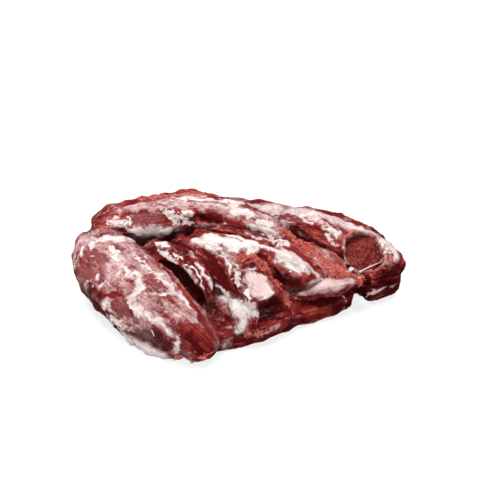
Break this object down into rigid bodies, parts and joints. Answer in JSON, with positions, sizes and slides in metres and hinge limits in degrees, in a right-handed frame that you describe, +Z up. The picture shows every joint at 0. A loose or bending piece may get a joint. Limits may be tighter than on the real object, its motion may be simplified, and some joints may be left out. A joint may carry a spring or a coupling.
{
  "type": "raw pork neck",
  "caption": "Boneless raw pork neck lying flat, its long muscles fanned out with deep gaps, patches of fat, and ragged cut layers along the front edge.",
  "frame": {"origin": "on the ground, under the middle of the neck's box seen from above", "axes": "+X along the neck towards the end with the round cross cut, +Y away from the ragged front edge, +Z up"},
  "size_m": [0.274, 0.1816, 0.0838],
  "materials": {
    "meat": "moist raw lean meat, dark red, with white and pink fat and thin pale skins"
  },
  "bodies": {
    "root": {"pork_neck": "meat"}
  },
  "joints": []
}
